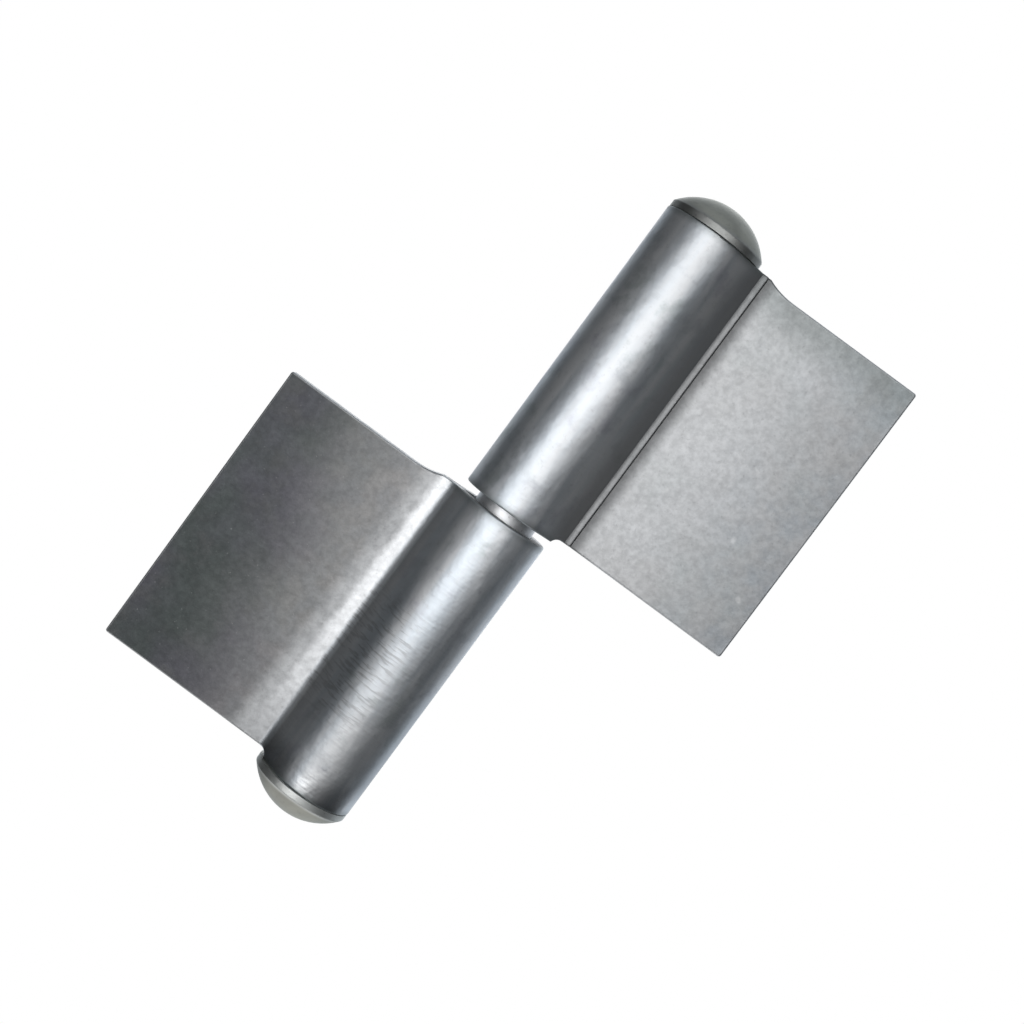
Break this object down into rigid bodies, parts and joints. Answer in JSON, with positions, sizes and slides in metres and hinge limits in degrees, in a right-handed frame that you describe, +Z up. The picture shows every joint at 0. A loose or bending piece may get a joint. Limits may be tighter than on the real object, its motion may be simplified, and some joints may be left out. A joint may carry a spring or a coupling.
{
  "type": "weld-on hinge",
  "caption": "Weld-on lift-off flag hinge in bare steel: rolled leaves on a pressed pin with domed ends, carried on an inner ball so the knuckles keep an open gap.",
  "frame": {"origin": "on the pin axis, midway between the two domed heads, in the gap between the knuckles; each head sits 0.45 mm off that axis, towards the leaf of its own half", "axes": "+Z up along the pin, the way the upper half lifts off; the lower half's leaf runs towards -X and the upper half's towards +X, opened flat; +Y points to the back, away from the side where the upper leaf shows its seam"},
  "size_m": [0.075, 0.0158, 0.1098],
  "materials": {
    "leaf_steel": "bare rolled sheet steel, burnished on the knuckle and faintly mottled on the leaf",
    "pin_steel": "bare turned and headed steel, dull on the domes",
    "ball_steel": "ground and hardened"
  },
  "bodies": {
    "lower_half": {"lower_leaf": "leaf_steel", "pin": "pin_steel"},
    "thrust_ball": {"bearing_ball": "ball_steel"},
    "upper_half": {"upper_leaf": "leaf_steel", "top_cap": "pin_steel"}
  },
  "joints": [
    {"name": "swing", "type": "hinge", "parent": "lower_half", "child": "thrust_ball", "pos_m": [0, 0, 0], "axis": [0, 0, 1], "continuous": true},
    {"name": "lift_off", "type": "slide", "parent": "thrust_ball", "child": "upper_half", "axis": [0, 0, 1], "range_m": [0, 0.045]}
  ]
}
